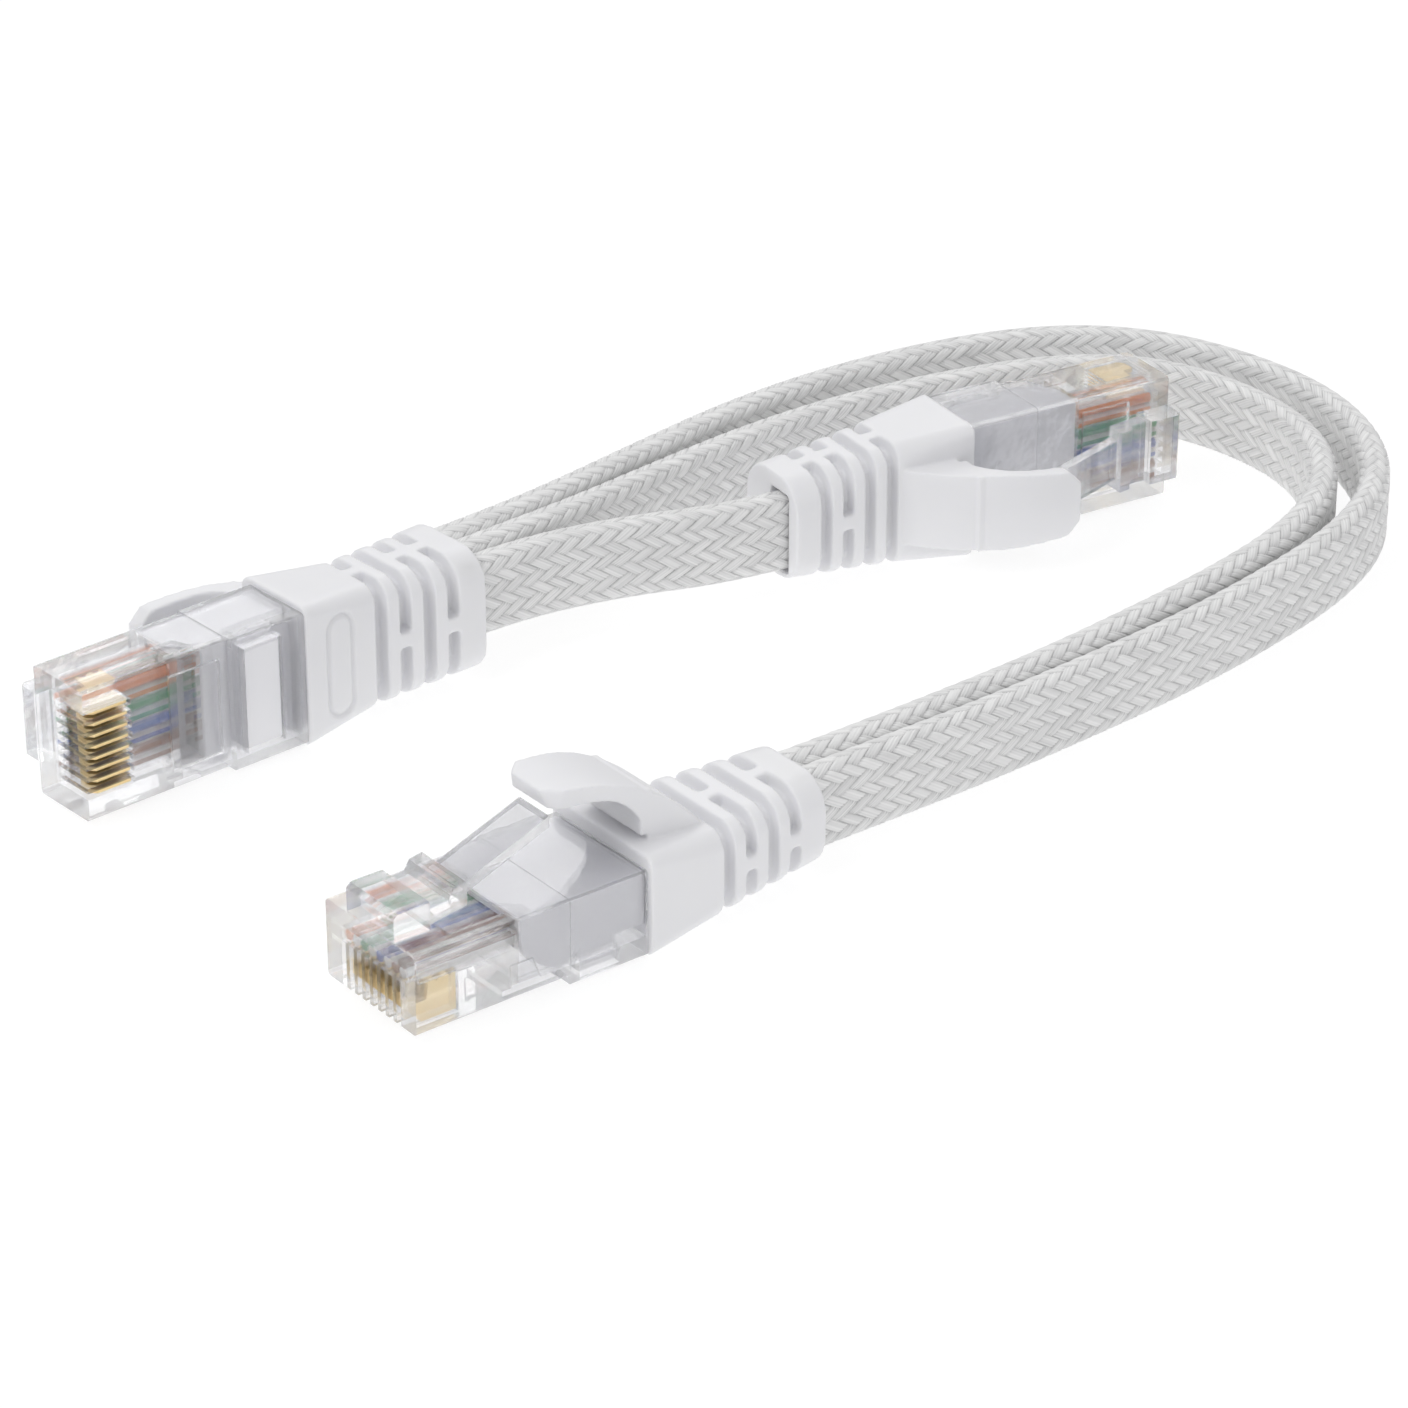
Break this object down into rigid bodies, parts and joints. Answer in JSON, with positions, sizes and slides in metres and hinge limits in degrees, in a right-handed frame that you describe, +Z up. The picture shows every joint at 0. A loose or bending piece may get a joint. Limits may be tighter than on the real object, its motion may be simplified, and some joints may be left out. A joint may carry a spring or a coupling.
{
  "type": "ethernet patch cable",
  "caption": "Short white braided flat network cable that loops back on itself, with clear modular plugs, ribbed white boots and arched latch guards.",
  "frame": {"origin": "on the surface that the cable lies on, under the middle of the plugs' outline", "axes": "+Z up; +X from the two plugs at the left towards the loop at the right; +Y away from the front"},
  "size_m": [0.1164, 0.1189, 0.0152],
  "materials": {
    "clear_plastic": "clear, polished",
    "gold_contacts": "gold plated",
    "white_plastic": "satin",
    "cable_core": "satin",
    "soft_white": "satin, soft",
    "white_braid": "woven",
    "wire_orange": "insulation",
    "wire_white_orange": "insulation, white with a stripe",
    "wire_green": "insulation",
    "wire_white_green": "insulation, white with a stripe",
    "wire_blue": "insulation",
    "wire_white_blue": "insulation, white with a stripe",
    "wire_brown": "insulation",
    "wire_white_brown": "insulation, white with a stripe"
  },
  "bodies": {
    "cable": {"a_plug_shell": "clear_plastic", "a_contacts": "gold_contacts", "a_wire_guide": "white_plastic", "a_inner_sleeve": "white_plastic", "a_cable_clamp": "white_plastic", "a_cable_core": "cable_core", "a_boot": "soft_white", "a_wire_orange": "wire_orange", "a_wire_white_orange": "wire_white_orange", "a_wire_green": "wire_green", "a_wire_white_green": "wire_white_green", "a_wire_blue": "wire_blue", "a_wire_white_blue": "wire_white_blue", "a_wire_brown": "wire_brown", "a_wire_white_brown": "wire_white_brown", "b_plug_shell": "clear_plastic", "b_contacts": "gold_contacts", "b_wire_guide": "white_plastic", "b_inner_sleeve": "white_plastic", "b_cable_clamp": "white_plastic", "b_cable_core": "cable_core", "b_boot": "soft_white", "b_wire_orange": "wire_orange", "b_wire_white_orange": "wire_white_orange", "b_wire_green": "wire_green", "b_wire_white_green": "wire_white_green", "b_wire_blue": "wire_blue", "b_wire_white_blue": "wire_white_blue", "b_wire_brown": "wire_brown", "b_wire_white_brown": "wire_white_brown", "c_plug_shell": "clear_plastic", "c_contacts": "gold_contacts", "c_wire_guide": "white_plastic", "c_inner_sleeve": "white_plastic", "c_cable_clamp": "white_plastic", "c_cable_core": "cable_core", "c_boot": "soft_white", "c_wire_orange": "wire_orange", "c_wire_white_orange": "wire_white_orange", "c_wire_green": "wire_green", "c_wire_white_green": "wire_white_green", "c_wire_blue": "wire_blue", "c_wire_white_blue": "wire_white_blue", "c_wire_brown": "wire_brown", "c_wire_white_brown": "wire_white_brown", "ribbon_link": "white_braid", "ribbon_outer": "white_braid", "ribbon_inner": "white_braid"},
    "a_guard": {"a_latch_guard": "soft_white"},
    "a_latch": {"a_latch_lever": "clear_plastic"},
    "b_guard": {"b_latch_guard": "soft_white"},
    "b_latch": {"b_latch_lever": "clear_plastic"},
    "c_guard": {"c_latch_guard": "soft_white"},
    "c_latch": {"c_latch_lever": "clear_plastic"}
  },
  "joints": [
    {"name": "a_guard_flex", "type": "hinge", "parent": "cable", "child": "a_guard", "pos_m": [-0.0315, 0.0043, 0.00645], "axis": [0, 0, 1], "range_deg": [0, 12], "stiffness_Nm_per_rad": 0.08},
    {"name": "a_latch_flex", "type": "hinge", "parent": "cable", "child": "a_latch", "pos_m": [-0.04552, -0.00914, 0.00645], "axis": [0, 0, -1], "range_deg": [0, 10]},
    {"name": "b_guard_flex", "type": "hinge", "parent": "cable", "child": "b_guard", "pos_m": [0.02881, 0.03159, 0.00645], "axis": [0, 0, 1], "range_deg": [0, 12], "stiffness_Nm_per_rad": 0.08},
    {"name": "b_latch_flex", "type": "hinge", "parent": "cable", "child": "b_latch", "pos_m": [0.0451, 0.04215, 0.00645], "axis": [0, 0, -1], "range_deg": [0, 10]},
    {"name": "c_guard_flex", "type": "hinge", "parent": "cable", "child": "c_guard", "pos_m": [-0.00088, -0.03163, 0.0091], "axis": [0.6143, -0.7891, 0], "range_deg": [0, 12], "stiffness_Nm_per_rad": 0.08},
    {"name": "c_latch_flex", "type": "hinge", "parent": "cable", "child": "c_latch", "pos_m": [-0.01619, -0.04355, 0.0083], "axis": [-0.6143, 0.7891, 0], "range_deg": [0, 10]}
  ],
  "couplings": [
    {"joint": "a_latch_flex", "follows": "a_guard_flex", "ratio": 0.8},
    {"joint": "b_latch_flex", "follows": "b_guard_flex", "ratio": 0.8},
    {"joint": "c_latch_flex", "follows": "c_guard_flex", "ratio": 0.8}
  ]
}
